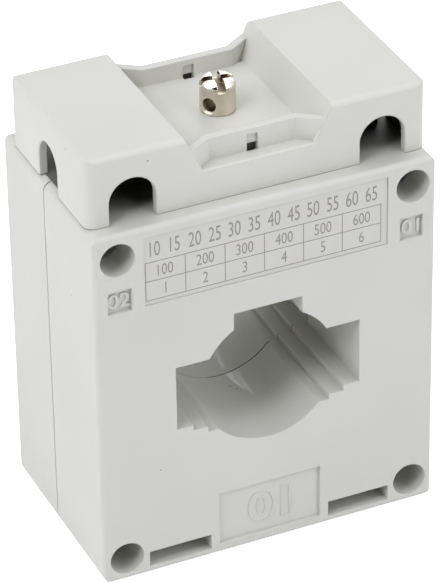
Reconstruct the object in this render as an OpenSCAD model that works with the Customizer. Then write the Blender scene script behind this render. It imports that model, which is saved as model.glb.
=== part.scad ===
// Window-type current transformer: a two-part moulded case round a ring
// core with one layer of secondary wire, a cover over the two terminals
// and a cross-drilled screw that seals the cover.
// X is the width, Y the depth with the front face at -Y, and Z is up.
// The origin is the middle of the base.

/* [Case] */
// Width of the case
case_w = 60; // [58:0.5:80]
// Depth of the case, front face to rear face
case_d = 36.9; // [34:0.1:60]
// Height of the case, without the terminal cover
case_h = 66.3; // [65:0.1:90]
// Depth of the front shell, from the front face to the joint
front_d = 19.8; // [19:0.1:22]
// Wall thickness of the shells
case_wall = 2; // [1.6:0.1:2.4]
// Corner radius of the case, seen from the front
corner_r = 1.8; // [1.2:0.1:3]
// Rounding of the edges of the front and rear faces
edge_r = 0.9; // [0.3:0.1:1.1]
// Width of the fine groove along the joint of the shells
joint_gap = 0.24; // [0.1:0.02:0.6]
// Depth of the groove along the joint
joint_deep = 0.35; // [0.1:0.05:0.8]

/* [Window] */
// Height of the window's centre above the base
window_z = 32.8; // [31:0.1:34]
// Diameter of the round part of the window
hole_d = 24; // [20:0.5:25]
// Width of the busbar slot
slot_w = 32.7; // [30:0.1:34]
// Height of the busbar slot above the window's centre
slot_up = 6; // [5:0.1:7]
// Height of the busbar slot below the window's centre
slot_down = 5.95; // [5:0.05:7]
// Width of the first step below the slot
step_w = 26.9; // [25:0.1:29]
// Width of the second step below the slot
low_step_w = 21.7; // [20:0.1:24]
// Height of each step
step_h = 1; // [0.5:0.1:1.5]
// Width of the upper notch
notch_w = 12.1; // [8:0.1:14]
// Height of the upper notch above the window's centre
notch_up = 13.4; // [13:0.1:15]
// Wall thickness of the tube round the window
window_wall = 1.2; // [0.8:0.1:1.4]
// Width of the seam that the joint leaves inside the window
seam_gap = 0.16; // [0.1:0.02:0.4]
// Depth of the seam inside the window
seam_deep = 0.3; // [0.1:0.05:0.5]

/* [Corner screws] */
// Diameter of the deep corner holes
corner_hole_d = 5.9; // [5.6:0.1:6.4]
// Depth of the corner holes, down to the screw head
corner_hole_deep = 8.5; // [8:0.1:10]
// Distance of the hole centres from the case sides
corner_side = 4.2; // [3.9:0.1:5]
// Height of the lower hole centres above the base
corner_low = 4.15; // [3.9:0.05:5]
// Distance of the upper hole centres below the case top
corner_high = 4.7; // [4.2:0.1:5]
// Wall round the corner holes
corner_wall = 1.3; // [1:0.1:1.6]
// Diameter of the case screws
case_screw_d = 2.9; // [2.5:0.1:3.2]
// Length of the case screws under the head
case_screw_l = 20; // [16:0.5:22]
// Diameter of the case screw heads
case_head_d = 5.4; // [4.8:0.1:5.5]
// Height of the case screw heads
case_head_h = 2.2; // [1.6:0.1:2.6]

/* [Foot slots and marks] */
// Width of the slots that take mounting feet
foot_w = 11.1; // [8:0.1:12]
// Height of the foot slots
foot_h = 2.85; // [2:0.05:3.2]
// Depth of the foot slots
foot_deep = 12; // [6:0.5:13]
// Distance from the middle to the inner end of a foot slot
foot_in = 10.7; // [10:0.1:12]
// Height of the foot slots above the base
foot_z = 1.3; // [1:0.1:2]
// Wall round the foot slots
foot_wall = 1.2; // [0.8:0.1:1.5]
// Width of the mark recess under the window
mark_w = 18.3; // [14:0.1:18.6]
// Height of the mark recess
mark_h = 10; // [6:0.1:11]
// Height of the mark recess above the base
mark_z = 1.9; // [1:0.1:3]
// Depth of the mark recess
mark_deep = 0.5; // [0.2:0.1:0.8]
// Side of the two small terminal mark recesses
spot = 4.1; // [3:0.1:4.5]
// Distance of the centres of the small recesses from the side of the case
spot_in = 4.4; // [4:0.1:5]
// Distance of the centres of the small recesses below the case top
spot_low = 12.4; // [11.8:0.1:14.3]
// Depth of the small recesses
spot_deep = 0.7; // [0.3:0.1:0.9]

/* [Label] */
// Distance of the label recess from the side of the case
label_in = 8.7; // [8:0.1:12]
// Height of the label recess
label_h = 12.5; // [10:0.1:12.8]
// Distance of the recess below the case top
label_top = 1.9; // [1.6:0.1:3]
// Depth of the label recess
label_deep = 0.35; // [0.25:0.05:0.6]
// Thickness of the label
label_t = 0.15; // [0.1:0.05:0.2]
// Gap between the label and the edge of its recess
label_gap = 0.15; // [0.05:0.05:0.4]

/* [Terminal cover] */
// Distance of the cover's ends inside the sides of the case
cover_in = 0.4; // [0:0.1:0.7]
// Distance of the cover's front and rear walls inside the faces of the case
cover_back = 2.85; // [1.95:0.05:3.05]
// Height of the cover
cover_h = 12.3; // [12:0.1:14]
// Wall thickness of the cover
cover_wall = 1.45; // [1.2:0.05:1.7]
// Corner radius of the cover, seen from above
cover_r = 2; // [1.5:0.1:3]
// Rounding of the cover's top edges
cover_edge_r = 1; // [0.4:0.1:1.4]
// Width of the valley at its floor
valley_w = 20.2; // [18:0.1:21]
// Width of the valley at the cover's top
valley_top_w = 25.4; // [22:0.1:26]
// Depth of the valley floor below the cover's top
valley_deep = 5.6; // [5:0.1:6]
// Drop of the ledges outside the low walls, below the valley floor
ledge_drop = 0.8; // [0.4:0.1:1.2]
// Height of the low walls above the valley floor
low_wall_h = 3.1; // [2:0.1:4]
// Thickness of the low walls
low_wall_t = 1.5; // [1:0.1:2]
// Distance of a low wall's outer face behind the cover's outer face
low_wall_in = 2.55; // [2.4:0.05:3]
// Length of the straight part of a low wall
low_wall_l = 15; // [12:0.1:16]
// Angle of the flared ends of the low walls
flare = 34; // [20:1:45]
// Width of the seal-wire slots in the low walls
seal_slot_w = 1.9; // [1.4:0.1:2.4]
// Height of the seal-wire slots above the valley floor
seal_slot_h = 2.1; // [1.4:0.1:2.4]
// Width of the wire arches in the front and rear walls
arch_w = 8; // [6:0.1:8.4]
// Height of the wire arches
arch_h = 7.7; // [6.5:0.1:8.2]
// Distance of the front and rear arches outside the terminal screws
arch_out = 0.7; // [0.2:0.1:1]
// Width of the wire arches in the end walls
end_arch_w = 7.5; // [6:0.1:8]

/* [Sealing screw] */
// Diameter of the screw head
seal_head_d = 5.9; // [5.4:0.1:6.2]
// Height of the screw head
seal_head_h = 5.8; // [5.4:0.1:6.2]
// Radius of the rounding round the top of the head
seal_crown_r = 1.1; // [0.6:0.1:1.6]
// Chamfer round the foot of the head
seal_chamfer = 0.25; // [0.1:0.05:0.4]
// Diameter of the seal-wire hole through the head
seal_hole_d = 2.4; // [1.8:0.1:2.6]
// Height of the seal-wire hole above the valley floor
seal_hole_z = 1.9; // [1.6:0.1:2.1]
// Width of the cross slot
cross_w = 1.3; // [1:0.1:1.4]
// Depth of the cross slot
cross_deep = 1.6; // [1:0.1:1.9]
// Turn of the cross slot about the screw's axis
cross_turn = -10; // [-45:1:45]
// Diameter of the shank
seal_shank_d = 4; // [3:0.1:4.2]
// Length of the shank
seal_shank_l = 10.5; // [9.6:0.1:10.7]
// Outer diameter of the sealing bush
bush_d = 6; // [5.6:0.1:6.6]
// Length of the sealing bush
bush_l = 4.2; // [3.8:0.1:4.4]
// Side of the bush's square flange
bush_flange = 7.6; // [7:0.1:8]
// Thickness of the bush's flange
bush_flange_t = 1.5; // [1:0.1:1.8]

/* [Terminals] */
// Distance of the terminal screws from the side of the case
terminal_in = 9; // [8.6:0.1:9.2]
// Height of the terminal seats above the case top
seat_h = 1.5; // [1:0.1:2]
// Depth of the terminal seats, front to rear
seat_d = 10.4; // [9.4:0.1:12]
// Width of the terminal plates, front to rear
plate_w = 8; // [7.4:0.1:9]
// Thickness of the terminal plates
plate_t = 1; // [0.6:0.1:1.2]
// Distance from the screw to the outer end of a plate
plate_out = 4.8; // [4:0.1:5]
// Distance from the screw to the inner face of a plate's leg
leg_in = 5.9; // [5.8:0.1:6.2]
// Distance from the foot of a leg up to the end of the wire beside it
lead_up = 3; // [2:0.1:4]
// Width of the legs
leg_w = 5; // [4:0.1:6]
// Length of the legs below the case top
leg_l = 6.8; // [6:0.1:7.2]
// Side of the square terminal nuts
nut_w = 7; // [6.6:0.1:7.1]
// Height of the terminal nuts
nut_h = 3.2; // [2.4:0.1:3.4]
// Diameter of the terminal screws
screw_d = 4; // [3:0.1:4.2]
// Length of the terminal screws under the head
screw_l = 8; // [7:0.1:8.4]
// Diameter of the terminal screw heads
screw_head_d = 7.6; // [6.6:0.1:8]
// Height of the terminal screw heads
screw_head_h = 2.6; // [2:0.1:3]
// Chamfer round the top of the terminal screw heads
screw_chamfer = 0.7; // [0.3:0.1:1]
// Width of the cross slot in the terminal and case screws
driver_w = 1; // [0.8:0.1:1.2]
// Depth of the cross slot in the terminal screws
driver_deep = 1.4; // [0.8:0.1:1.6]
// Side of the square clamp washers
clamp_w = 8; // [7.4:0.1:8.6]
// Thickness of the clamp washers
clamp_t = 0.9; // [0.6:0.1:1.1]
// Diameter of the spring washers
spring_d = 6.9; // [6.4:0.1:7.4]
// Thickness of the spring washers
spring_t = 0.9; // [0.6:0.1:1.1]

/* [Core and winding] */
// Number of turns of the secondary winding
turns = 40; // [20:1:50]
// Diameter of the winding wire
wire_d = 1.4; // [1:0.05:1.5]
// Thickness of the tape over the coil
tape_t = 0.3; // [0.15:0.05:0.4]
// Thickness of the film between the core and the wire
film_t = 0.3; // [0.15:0.05:0.4]
// Thickness of the insulating rings on the core's ends
ring_t = 0.5; // [0.3:0.1:0.8]
// Thickness of the foam pads in front of and behind the coil
pad_t = 1.85; // [1:0.05:2.5]
// Gap between the coil and the case
coil_gap = 0.5; // [0.3:0.1:0.8]
// Gap between the window's tube and the coil
tube_gap = 0.3; // [0.2:0.05:0.5]
// Distance of the foam pads inside the coil's outer and inner faces
pad_in = 1; // [0.5:0.1:1.5]
// Outer diameter of the lead sleeves
sleeve_d = 2.4; // [2:0.1:2.6]

/* [Hidden] */
$fn = 64;
left = -1;
right = 1;
fit = 0.1;              // running clearance between pieces that fit together
over = 1;               // how far a cutter runs past the face it opens
least_r = 0.3;          // least rounding of an inner corner
// Places in the case
front_y = -case_d / 2;
rear_y = case_d / 2;
joint_y = front_y + front_d;
in_front_y = front_y + case_wall;
in_rear_y = rear_y - case_wall;
in_top_z = case_h - case_wall;
corner_x = case_w / 2 - corner_side;
corner_z = [corner_low, case_h - corner_high];
corner_boss_r = corner_hole_d / 2 + corner_wall;
head_seat_y = front_y + corner_hole_deep;
case_tip_y = head_seat_y + case_screw_l;
mark_mid_z = mark_z + mark_h / 2;
label_w = case_w - 2 * label_in;
label_z = case_h - label_top - label_h / 2;
spot_x = case_w / 2 - spot_in;
spot_z = case_h - spot_low;
// Sizes and places of the cover
cover_w = case_w - 2 * cover_in;
cover_d = case_d - 2 * cover_back;
low_wall_y = cover_d / 2 - low_wall_in;
cover_top_z = case_h + cover_h;
valley_z = cover_top_z - valley_deep;
ledge_z = valley_z - ledge_drop;
low_wall_z = valley_z + low_wall_h;
valley_slope = (valley_top_w - valley_w) / 2 / valley_deep;
cover_boss_wall = 2;
cover_boss_r = seal_shank_d / 2 + fit + cover_boss_wall;
// Places of the sealing parts
bush_z = case_h - bush_l;
bush_flange_z = bush_z + (bush_l - bush_flange_t) / 2;
seal_boss_w = bush_flange + 2 * fit + 2 * foot_wall;
seal_boss_floor = 0.8;
seal_boss_z = bush_z - seal_boss_floor;
// Places of the terminals
terminal_x = case_w / 2 - terminal_in;
arch_x = terminal_x + arch_out;
seat_rim = 0.2;         // how far a seat stands out past its plate
seat_z = case_h + seat_h;
nut_z = seat_z - nut_h;
plate_z = seat_z + plate_t;
clamp_z = plate_z + clamp_t;
head_z = clamp_z + spring_t;
screw_tip_z = head_z - screw_l;
well_room = 0.5;        // room under the tip of a terminal screw
well_z = screw_tip_z - well_room;
leg_x = terminal_x - leg_in;
leg_z = case_h - leg_l;
boss_wall = 1.2;
terminal_boss_w = nut_w + 2 * fit + 2 * boss_wall;
// Sizes of the coil: it fills the ring between the window's tube and the case
tube_r = max(norm([slot_w / 2 + window_wall, max(slot_up, slot_down) + window_wall]),
    norm([notch_w / 2 + window_wall, notch_up + window_wall]));
foot_roof_z = foot_z + foot_h + foot_wall;
coil_in_r = tube_r + tube_gap;
coil_out_r = min(case_w / 2 - case_wall, window_z - case_wall, seal_boss_z - window_z,
    norm([foot_in - foot_wall, window_z - foot_roof_z])) - coil_gap;
coil_half = min(in_rear_y, -in_front_y) - pad_t;
wire_gap = 0.1;
wire_in_r = coil_in_r + tape_t + wire_gap + wire_d / 2;
wire_out_r = coil_out_r - tape_t - wire_gap - wire_d / 2;
wire_half = coil_half - tape_t - wire_gap - wire_d / 2;
film_in_r = wire_in_r + wire_d / 2 + wire_gap;
film_out_r = wire_out_r - wire_d / 2 - wire_gap;
film_half = wire_half - wire_d / 2 - wire_gap;
core_in_r = film_in_r + film_t;
core_out_r = film_out_r - film_t;
core_half = film_half - film_t - ring_t;
// Places of the wire's ends, beside the legs of the terminal plates
lead_gap = 0.05;        // gap between the wire and the leg, for the solder
lead_x = leg_x - wire_d / 2 - lead_gap;
lead_turn = acos(lead_x / wire_out_r);
lead_z = leg_z + lead_up;
lead_foot_z = window_z + wire_out_r * sin(lead_turn);
lead_bend = 1.2;
lead_slot_w = wire_d + 4 * fit;
lead_slot_h = 4 * lead_bend;
sleeve_z = window_z + sqrt(pow(coil_out_r, 2) - pow(lead_x - sleeve_d / 2, 2)) + fit;
// Points round one turn, points at each of its four corners, and sides of the wire
wire_steps = 12;
corner_steps = 3;
wire_sides = 6;

// ---------- drawing helpers ----------

// Extrudes a drawing of x and z along y
module along_y(from_y, to_y)
    translate([0, to_y, 0]) rotate([90, 0, 0]) linear_extrude(to_y - from_y) children();

// Extrudes a drawing of y and z along x
module along_x(from_x, to_x)
    translate([from_x, 0, 0]) rotate([90, 0, 90]) linear_extrude(to_x - from_x) children();

// A rectangle with round corners, centred
module round_rect(w, h, r) {
    square([w - 2 * r, h], center = true);
    square([w, h - 2 * r], center = true);
    for (x = [-1, 1], y = [-1, 1])
        translate([x * (w / 2 - r), y * (h / 2 - r)]) circle(r);
}

// A rectangle standing on its base line, with only the top corners round
module round_top(w, h, r) {
    translate([-w / 2, 0]) square([w, h - r]);
    translate([-w / 2 + r, 0]) square([w - 2 * r, h]);
    for (x = [-1, 1]) translate([x * (w / 2 - r), h - r]) circle(r);
}

// A box given by its two corners
module box(low, high)
    translate(low) cube(high - low);

// A ring about the window's axis, with a rectangular section
module window_ring(in_r, out_r, from_y, to_y)
    translate([0, 0, window_z]) along_y(from_y, to_y) difference() {
        circle(out_r);
        circle(in_r);
    }

// Puts a right-hand piece on the chosen side
module on_side(side)
    if (side == left) mirror([1, 0, 0]) children();
    else children();

// ---------- case ----------

// The window seen from the front; grow gives the outline of its tube
module window_outline(grow = 0) {
    circle(hole_d / 2 + grow);
    translate([-slot_w / 2 - grow, -slot_down - grow])
        square([slot_w + 2 * grow, slot_up + slot_down + 2 * grow]);
    translate([-step_w / 2 - grow, -slot_down - step_h - grow])
        square([step_w + 2 * grow, slot_down + step_h + grow]);
    translate([-low_step_w / 2 - grow, -slot_down - 2 * step_h - grow])
        square([low_step_w + 2 * grow, slot_down + 2 * step_h + grow]);
    translate([-notch_w / 2 - grow, 0])
        square([notch_w + 2 * grow, notch_up + grow]);
}

// The outer form of the case; inset gives its inside
module case_block(inset = 0) {
    mid_z = case_h / 2;
    round_r = max(edge_r - inset, least_r);
    translate([0, 0, mid_z]) intersection() {
        along_y(front_y + inset, rear_y - inset)
            round_rect(case_w - 2 * inset, case_h - 2 * inset, max(corner_r - inset, least_r));
        translate([0, 0, -mid_z]) linear_extrude(case_h)
            round_rect(case_w - 2 * inset, case_d - 2 * inset, round_r);
        along_x(-case_w / 2, case_w / 2)
            round_rect(case_d - 2 * inset, case_h - 2 * inset, round_r);
    }
}

// The posts that the case screws go through
module corner_posts()
    for (x = [-corner_x, corner_x], z = corner_z)
        translate([x, 0, z]) along_y(front_y, rear_y) circle(corner_boss_r);

module corner_holes()
    for (x = [-corner_x, corner_x], z = corner_z)
        translate([x, 0, z]) {
            along_y(front_y - over, head_seat_y) circle(corner_hole_d / 2);
            along_y(head_seat_y - over, joint_y) circle(case_screw_d / 2 + fit);
            along_y(joint_y - over, case_tip_y + over) circle(case_screw_d / 2 + fit / 2);
        }

// The slots that take mounting feet, on the front and the rear face
module foot_slots(grow = 0)
    for (x = [-1, 1], y = [-1, 1])
        translate([x * (foot_in + foot_w / 2), y * (case_d / 2 - foot_deep / 2), foot_z + foot_h / 2])
            cube([foot_w + 2 * grow, foot_deep + 2 * grow, foot_h + 2 * grow], center = true);

module foot_slot_mouths()
    for (x = [-1, 1], y = [-1, 1])
        translate([x * (foot_in + foot_w / 2), y * case_d / 2, foot_z + foot_h / 2])
            cube([foot_w, 2 * over, foot_h], center = true);

// The recesses for the label and the marks
module recesses() {
    translate([0, 0, label_z]) along_y(front_y - over, front_y + label_deep)
        square([label_w, label_h], center = true);
    for (x = [-spot_x, spot_x])
        translate([x, 0, spot_z]) along_y(front_y - over, front_y + spot_deep)
            square(spot, center = true);
    translate([0, 0, mark_mid_z]) {
        along_y(front_y - over, front_y + mark_deep) square([mark_w, mark_h], center = true);
        along_y(rear_y - mark_deep, rear_y + over) square([mark_w, mark_h], center = true);
    }
}

// A raised seat with the block below it that holds a terminal nut
module terminal_seat() {
    box([leg_x - boss_wall, -seat_d / 2, in_top_z - over],
        [terminal_x + plate_out + seat_rim, seat_d / 2, seat_z]);
    box([terminal_x - terminal_boss_w / 2, -terminal_boss_w / 2, well_z - boss_wall],
        [terminal_x + terminal_boss_w / 2, terminal_boss_w / 2, case_h]);
}

module terminal_cuts() {
    pocket = nut_w + 2 * fit;
    translate([terminal_x, 0, seat_z]) cube([pocket, pocket, 2 * nut_h], center = true);
    translate([terminal_x, 0, well_z]) cylinder(d = screw_d + 4 * fit, h = seat_z - well_z);
    box([leg_x - fit, -leg_w / 2 - fit, leg_z], [leg_x + plate_t + fit, leg_w / 2 + fit, seat_z + over]);
}

// The block below the case top that holds the sealing bush
module seal_seat()
    box([-seal_boss_w / 2, -seal_boss_w / 2, seal_boss_z],
        [seal_boss_w / 2, seal_boss_w / 2, case_h - edge_r]);

module seal_cuts() {
    flange = bush_flange + 2 * fit;
    translate([0, 0, bush_z]) cylinder(d = bush_d + 2 * fit, h = bush_l + over);
    translate([0, 0, bush_flange_z + bush_flange_t / 2])
        cube([flange, flange, bush_flange_t + 2 * fit], center = true);
}

// The fine groove round the outside at the joint
module joint_groove()
    translate([0, 0, case_h / 2]) along_y(joint_y - joint_gap / 2, joint_y + joint_gap / 2) difference() {
        square([case_w + 2 * over, case_h + 2 * over], center = true);
        round_rect(case_w - 2 * joint_deep, case_h - 2 * joint_deep, corner_r);
    }

// The seam of the joint inside the window: open on the round and the upright faces
module window_seam()
    translate([0, 0, window_z]) along_y(joint_y - seam_gap / 2, joint_y + seam_gap / 2) {
        circle(hole_d / 2 + seam_deep);
        translate([-slot_w / 2 - seam_deep, -slot_down])
            square([slot_w + 2 * seam_deep, slot_up + slot_down]);
        translate([-step_w / 2 - seam_deep, -slot_down - step_h])
            square([step_w + 2 * seam_deep, slot_down + step_h]);
        translate([-low_step_w / 2 - seam_deep, -slot_down - 2 * step_h])
            square([low_step_w + 2 * seam_deep, slot_down + 2 * step_h]);
        translate([-notch_w / 2 - seam_deep, 0])
            square([notch_w + 2 * seam_deep, notch_up]);
    }

// Both shells in one, before they are parted at the joint
module whole_case()
    difference() {
        union() {
            intersection() {
                case_block();
                union() {
                    difference() {
                        case_block();
                        case_block(case_wall);
                    }
                    corner_posts();
                    foot_slots(foot_wall);
                    translate([0, 0, window_z]) along_y(front_y, rear_y) window_outline(window_wall);
                    seal_seat();
                }
            }
            for (side = [left, right]) on_side(side) terminal_seat();
        }
        translate([0, 0, window_z]) along_y(front_y - over, rear_y + over) window_outline();
        corner_holes();
        foot_slots();
        foot_slot_mouths();
        recesses();
        for (side = [left, right]) on_side(side) terminal_cuts();
        seal_cuts();
        joint_groove();
        window_seam();
    }

module front_shell()
    color("#D3D3D0") intersection() {
        whole_case();
        box([-case_w, front_y - over, -over], [case_w, joint_y, cover_top_z]);
    }

module rear_shell()
    color("#D3D3D0") intersection() {
        whole_case();
        box([-case_w, joint_y, -over], [case_w, rear_y + over, cover_top_z]);
    }

module rating_label()
    color("#CDCDCB") translate([0, 0, label_z])
        along_y(front_y + label_deep - label_t, front_y + label_deep)
            square([label_w - 2 * label_gap, label_h - 2 * label_gap], center = true);

module case_screws()
    color("#9C9FA3") for (x = [-corner_x, corner_x], z = corner_z)
        translate([x, head_seat_y, z]) rotate([90, 0, 0]) difference() {
            union() {
                cylinder(d = case_head_d, h = case_head_h);
                translate([0, 0, -case_screw_l]) cylinder(d = case_screw_d, h = case_screw_l);
            }
            for (turn = [0, 90]) rotate(turn) translate([0, 0, case_head_h])
                cube([case_head_d / 2, driver_w, case_head_h], center = true);
        }

// ---------- terminal cover ----------

// The outer form of the cover; inset gives its inside
module cover_block(inset = 0) {
    w = cover_w - 2 * inset;
    d = cover_d - 2 * inset;
    h = cover_h - inset;
    top_r = max(cover_edge_r - inset, least_r);
    translate([0, 0, case_h]) intersection() {
        linear_extrude(h) round_rect(w, d, max(cover_r - inset, least_r));
        along_y(-d / 2, d / 2) round_top(w, h, top_r);
        along_x(-w / 2, w / 2) round_top(d, h, top_r);
    }
}

// A trough with the valley's slanted sides, down to a given height
module valley(from_y, to_y, down_z, grow = 0) {
    up_z = cover_top_z + over;
    low_half = valley_w / 2 + valley_slope * (down_z - valley_z) + grow;
    high_half = valley_w / 2 + valley_slope * (up_z - valley_z) + grow;
    along_y(from_y, to_y)
        polygon([[-low_half, down_z], [low_half, down_z], [high_half, up_z], [-high_half, up_z]]);
}

// The hollow of the cover: it follows the valley and the ledges from below
module cover_hollow() {
    end_y = cover_d / 2 + over;
    ledge_y = low_wall_y - low_wall_t;
    difference() {
        cover_block(cover_wall);
        valley(-end_y, end_y, valley_z - cover_wall, cover_wall);
        for (side = [-1, 1])
            valley(side > 0 ? ledge_y : -end_y, side > 0 ? end_y : -ledge_y,
                ledge_z - cover_wall, cover_wall);
    }
}

// The front low wall with its flared ends
module low_wall() {
    half = low_wall_l / 2;
    reach = valley_top_w / 2 - half;
    run = reach * tan(flare);
    bend = low_wall_t * tan(flare / 2);
    skew = low_wall_t / cos(flare);
    intersection() {
        translate([0, 0, ledge_z - cover_wall / 2]) linear_extrude(low_wall_z - ledge_z + cover_wall / 2)
            polygon([
                [-half - reach, -low_wall_y - run], [-half, -low_wall_y],
                [half, -low_wall_y], [half + reach, -low_wall_y - run],
                [half + reach, -low_wall_y - run + skew], [half + bend, -low_wall_y + low_wall_t],
                [-half - bend, -low_wall_y + low_wall_t], [-half - reach, -low_wall_y - run + skew]]);
        valley(-cover_d / 2, 0, ledge_z - cover_wall, cover_wall / 2);
        cover_block();
    }
}

// The mouth of a wire arch, standing on the case top
module arch(w)
    translate([0, case_h]) {
        translate([0, arch_h - w / 2]) circle(w / 2);
        translate([-w / 2, -over]) square([w, arch_h - w / 2 + over]);
    }

module terminal_cover()
    color("#DADAD7") difference() {
        union() {
            difference() {
                cover_block();
                valley(-cover_d, cover_d, valley_z);
                valley(-cover_d, -low_wall_y + low_wall_t / 2, ledge_z);
                valley(low_wall_y - low_wall_t / 2, cover_d, ledge_z);
                difference() {
                    cover_hollow();
                    translate([0, 0, case_h]) cylinder(r = cover_boss_r, h = cover_h);
                }
                translate([0, 0, case_h - over]) linear_extrude(over)
                    round_rect(cover_w, cover_d, cover_r);
            }
            low_wall();
            mirror([0, 1, 0]) low_wall();
        }
        translate([0, 0, case_h - over]) cylinder(d = seal_shank_d + 2 * fit, h = cover_h);
        for (side = [-1, 1]) {
            translate([side * arch_x, 0, 0]) along_y(-cover_d, -cover_d / 2 + cover_wall + over) arch(arch_w);
            translate([side * arch_x, 0, 0]) along_y(cover_d / 2 - cover_wall - over, cover_d) arch(arch_w);
            translate([0, side * (low_wall_y - low_wall_t / 2), case_h])
                box([-seal_slot_w / 2, -low_wall_t / 2, 0],
                    [seal_slot_w / 2, low_wall_t / 2, valley_z + seal_slot_h - case_h]);
        }
        along_x(-cover_w, -cover_w / 2 + cover_wall + over) arch(end_arch_w);
        along_x(cover_w / 2 - cover_wall - over, cover_w) arch(end_arch_w);
    }

// ---------- sealing parts ----------

// Half of the head's section: round at the top and chamfered at the foot
module seal_head_half() {
    r = seal_head_d / 2;
    intersection() {
        union() {
            translate([0, seal_chamfer]) square([r, seal_head_h - seal_crown_r - seal_chamfer]);
            square([r - seal_crown_r, seal_head_h]);
            translate([r - seal_crown_r, seal_head_h - seal_crown_r]) circle(seal_crown_r);
            polygon([[0, 0], [r - seal_chamfer, 0], [r, seal_chamfer], [0, seal_chamfer]]);
        }
        square([r, seal_head_h]);
    }
}

module sealing_screw()
    color("#CFC9BD") translate([0, 0, valley_z]) difference() {
        union() {
            rotate_extrude() seal_head_half();
            translate([0, 0, -seal_shank_l]) cylinder(d = seal_shank_d, h = seal_shank_l);
        }
        rotate(cross_turn) {
            for (turn = [0, 90]) rotate(turn) translate([0, 0, seal_head_h])
                cube([2 * seal_head_d, cross_w, 2 * cross_deep], center = true);
            rotate(45) translate([0, 0, seal_hole_z]) rotate([0, 90, 0])
                cylinder(d = seal_hole_d, h = 2 * seal_head_d, center = true);
        }
    }

module sealing_bush()
    color("#C9A84E") difference() {
        union() {
            translate([0, 0, bush_z]) cylinder(d = bush_d, h = bush_l);
            translate([0, 0, bush_flange_z + bush_flange_t / 2])
                cube([bush_flange, bush_flange, bush_flange_t], center = true);
        }
        translate([0, 0, bush_z - over]) cylinder(d = seal_shank_d + fit, h = bush_l + 2 * over);
    }

// ---------- terminals ----------

module terminal_plate(side)
    color("#D0C08A") on_side(side) difference() {
        union() {
            box([leg_x, -plate_w / 2, seat_z], [terminal_x + plate_out, plate_w / 2, plate_z]);
            box([leg_x, -leg_w / 2, leg_z], [leg_x + plate_t, leg_w / 2, plate_z]);
        }
        translate([terminal_x, 0, seat_z - over]) cylinder(d = screw_d + 4 * fit, h = plate_t + 2 * over);
    }

module terminal_nut(side)
    color("#C9A84E") on_side(side) translate([terminal_x, 0, nut_z]) difference() {
        translate([-nut_w / 2, -nut_w / 2, 0]) cube([nut_w, nut_w, nut_h]);
        translate([0, 0, -over]) cylinder(d = screw_d + fit, h = nut_h + 2 * over);
    }

module clamp_washer(side)
    color("#C8C9CB") on_side(side) translate([terminal_x, 0, plate_z]) difference() {
        translate([-clamp_w / 2, -clamp_w / 2, 0]) cube([clamp_w, clamp_w, clamp_t]);
        translate([0, 0, -over]) cylinder(d = screw_d + 4 * fit, h = clamp_t + 2 * over);
    }

module spring_washer(side)
    color("#A9ABAE") on_side(side) translate([terminal_x, 0, clamp_z]) difference() {
        cylinder(d = spring_d, h = spring_t);
        translate([0, 0, -over]) cylinder(d = screw_d + 4 * fit, h = spring_t + 2 * over);
        rotate(-30) translate([0, -spring_t / 4, -over]) cube([spring_d, spring_t / 2, spring_t + 2 * over]);
    }

module terminal_screw(side)
    color("#C8C9CB") on_side(side) translate([terminal_x, 0, head_z]) difference() {
        union() {
            cylinder(d = screw_head_d, h = screw_head_h - screw_chamfer);
            translate([0, 0, screw_head_h - screw_chamfer])
                cylinder(d1 = screw_head_d, d2 = screw_head_d - 2 * screw_chamfer, h = screw_chamfer);
            translate([0, 0, -screw_l]) cylinder(d = screw_d, h = screw_l);
        }
        for (turn = [0, 90]) rotate(turn) translate([0, 0, screw_head_h])
            cube([screw_head_d / 2, driver_w, 2 * driver_deep], center = true);
    }

// ---------- core and winding ----------

module core()
    color("#6E7276") window_ring(core_in_r, core_out_r, -core_half, core_half);

module core_ring(side)
    color("#B59B6A") window_ring(core_in_r, core_out_r,
        side < 0 ? -core_half - ring_t : core_half, side < 0 ? -core_half : core_half + ring_t);

// Wrapped round the ring: a hollow ring with an even wall
module wrapped_ring(in_r, out_r, half, t)
    difference() {
        window_ring(in_r, out_r, -half, half);
        window_ring(in_r + t, out_r - t, -half + t, half - t);
    }

module core_film()
    color("#E2D9A8") wrapped_ring(film_in_r, film_out_r, film_half, film_t);

module coil_tape()
    color("#E3C64B") difference() {
        wrapped_ring(coil_in_r, coil_out_r, coil_half, tape_t);
        for (side = [left, right])
            translate([side * lead_x, side * lead_bend / 2, lead_foot_z + lead_slot_h / 2])
                cube([lead_slot_w, lead_slot_w + lead_bend, lead_slot_h], center = true);
    }

module pad(side)
    color("#3C3E40") window_ring(coil_in_r + pad_in, coil_out_r - pad_in,
        side < 0 ? in_front_y : coil_half, side < 0 ? -coil_half : in_rear_y);

module lead_sleeve(side)
    color("#D8D4C8") on_side(side) translate([lead_x, 0, sleeve_z]) difference() {
        cylinder(d = sleeve_d, h = leg_z - fit - sleeve_z);
        translate([0, 0, -over]) cylinder(d = wire_d + 2 * fit, h = leg_z);
    }

// One turn of wire is a rectangle with round corners about the coil's section
wire_mid_r = (wire_in_r + wire_out_r) / 2;
wire_half_r = (wire_out_r - wire_in_r) / 2;
wire_corner = wire_d / 2 + wire_gap;
wire_sweep = 360 - 2 * (90 - lead_turn);
function section(i) =
    let (corner = floor(i / corner_steps), a = 90 * (corner + (i % corner_steps) / (corner_steps - 1)),
        su = corner == 0 || corner == 3 ? 1 : -1, sy = corner < 2 ? 1 : -1)
    [su * (wire_half_r - wire_corner) + wire_corner * cos(a),
     sy * (wire_half - wire_corner) + wire_corner * sin(a)];
function coil_angle(j) = lead_turn - wire_sweep * (j + 0.5) / (turns * wire_steps);
function coil_point(j) =
    let (s = section(j % wire_steps), r = wire_mid_r + s[0], a = coil_angle(j))
    [r * cos(a), s[1], window_z + r * sin(a)];
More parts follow.
